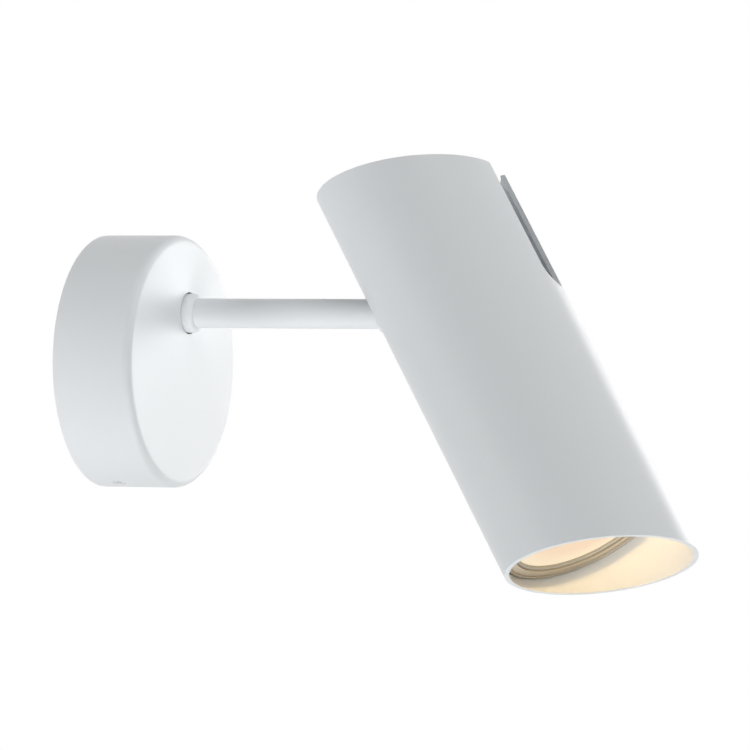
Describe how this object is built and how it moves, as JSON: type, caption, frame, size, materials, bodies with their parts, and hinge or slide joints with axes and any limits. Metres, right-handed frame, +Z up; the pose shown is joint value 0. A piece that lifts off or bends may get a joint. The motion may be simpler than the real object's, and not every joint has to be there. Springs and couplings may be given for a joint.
{
  "type": "wall spotlight",
  "caption": "Wall lamp: a round canopy carries a straight swivelling arm whose end tilts a slotted tubular head with slanting ends and a recessed lamp.",
  "frame": {"origin": "middle of the wall screw pattern and of the canopy, on the wall face", "axes": "+X out of the wall along the arm, +Z up, +Y to the right for someone who faces the wall"},
  "size_m": [0.2186, 0.085, 0.1425],
  "materials": {
    "white_paint": "fine satin powder coat",
    "zinc_steel": "zinc plated sheet",
    "screw_steel": "bright zinc plated",
    "spring_steel": "rolled strip",
    "brass": "machined",
    "block_plastic": "moulded",
    "lead_sleeve": "silicone sleeve",
    "washer_fibre": "fibre",
    "holder_ceramic": "unglazed white",
    "lamp_shell": "moulded",
    "pin_metal": "nickel plated",
    "board": "white solder mask on aluminium",
    "frosted_lens": "frosted, lit warm white",
    "bezel_metal": "satin, turned"
  },
  "bodies": {
    "wall_side": {"wall_bracket": "zinc_steel", "bracket_bridge": "zinc_steel", "bridge_screws": "screw_steel", "stop_pin": "screw_steel", "terminal_block": "block_plastic", "terminal_barrels": "brass", "terminal_clamp_screws": "screw_steel", "terminal_block_screws": "screw_steel", "earth_screw": "brass", "canopy": "white_paint", "canopy_set_screws": "white_paint", "supply_leads": "lead_sleeve"},
    "arm": {"swivel_hub": "white_paint", "hub_stop_washer": "screw_steel", "hub_spring_washer": "spring_steel", "hub_nut": "screw_steel", "arm_tube": "white_paint", "arm_leads": "lead_sleeve", "knuckle": "white_paint", "knuckle_set_screw": "screw_steel"},
    "head": {"head_tube": "white_paint", "seat_ring": "zinc_steel", "yoke": "zinc_steel", "yoke_screws": "screw_steel", "pivot_screw": "screw_steel", "pivot_nut": "screw_steel", "friction_washers": "washer_fibre", "lampholder": "holder_ceramic", "lampholder_screws": "screw_steel", "head_leads": "lead_sleeve", "lamp_body": "lamp_shell", "lamp_pins": "pin_metal", "led_board": "board", "lamp_lens": "frosted_lens", "bezel_ring": "bezel_metal", "bezel_springs": "spring_steel"}
  },
  "joints": [
    {"name": "arm_swivel", "type": "hinge", "parent": "wall_side", "child": "arm", "pos_m": [0.021, 0, 0.017], "axis": [1, 0, 0], "range_deg": [-164, 164], "deforming": ["supply_leads"]},
    {"name": "head_tilt", "type": "hinge", "parent": "arm", "child": "head", "pos_m": [0.1324, 0, 0.017], "axis": [0, -1, 0], "range_deg": [-33, 147], "deforming": ["head_leads"]}
  ]
}
